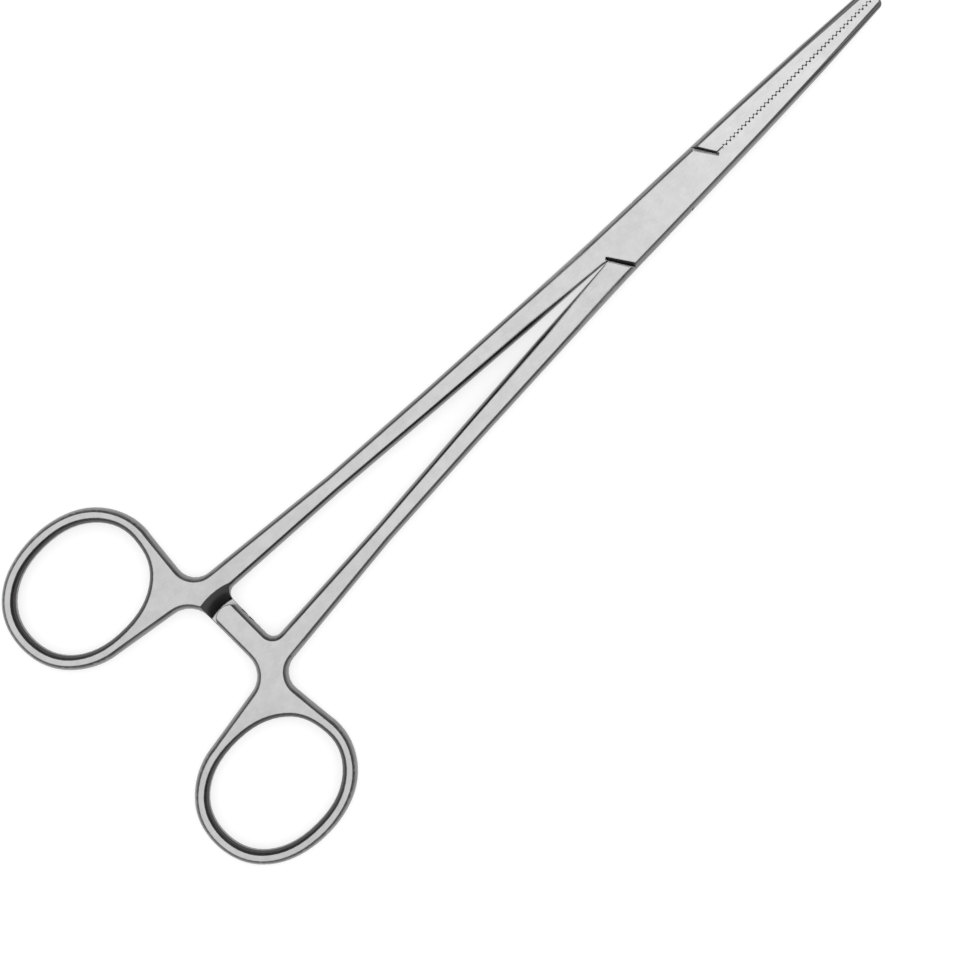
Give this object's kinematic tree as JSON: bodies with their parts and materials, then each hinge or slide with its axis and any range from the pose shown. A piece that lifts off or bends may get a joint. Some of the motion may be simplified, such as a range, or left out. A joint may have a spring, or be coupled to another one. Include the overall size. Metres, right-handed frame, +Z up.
{
  "type": "surgical clamp",
  "caption": "Straight locking clamp with box lock, finger rings, ratchet bars and slender tapered jaws with fine cross serrations.",
  "frame": {"origin": "on the underside of the box lock, on the axis of its pin", "axes": "+X from the pin to the jaw tips, +Y towards the finger ring of the female half, +Z up along the pin"},
  "size_m": [0.1998, 0.0786, 0.005],
  "materials": {
    "steel": "satin stainless steel with brighter rounded edges"
  },
  "bodies": {
    "female_side": {"female_half": "steel", "box_lock_pin": "steel"},
    "male_side": {"male_half": "steel"}
  },
  "joints": [
    {"name": "box_lock", "type": "hinge", "parent": "female_side", "child": "male_side", "pos_m": [0, 0, 0.0025], "axis": [0, 0, 1], "range_deg": [0, 60]}
  ]
}
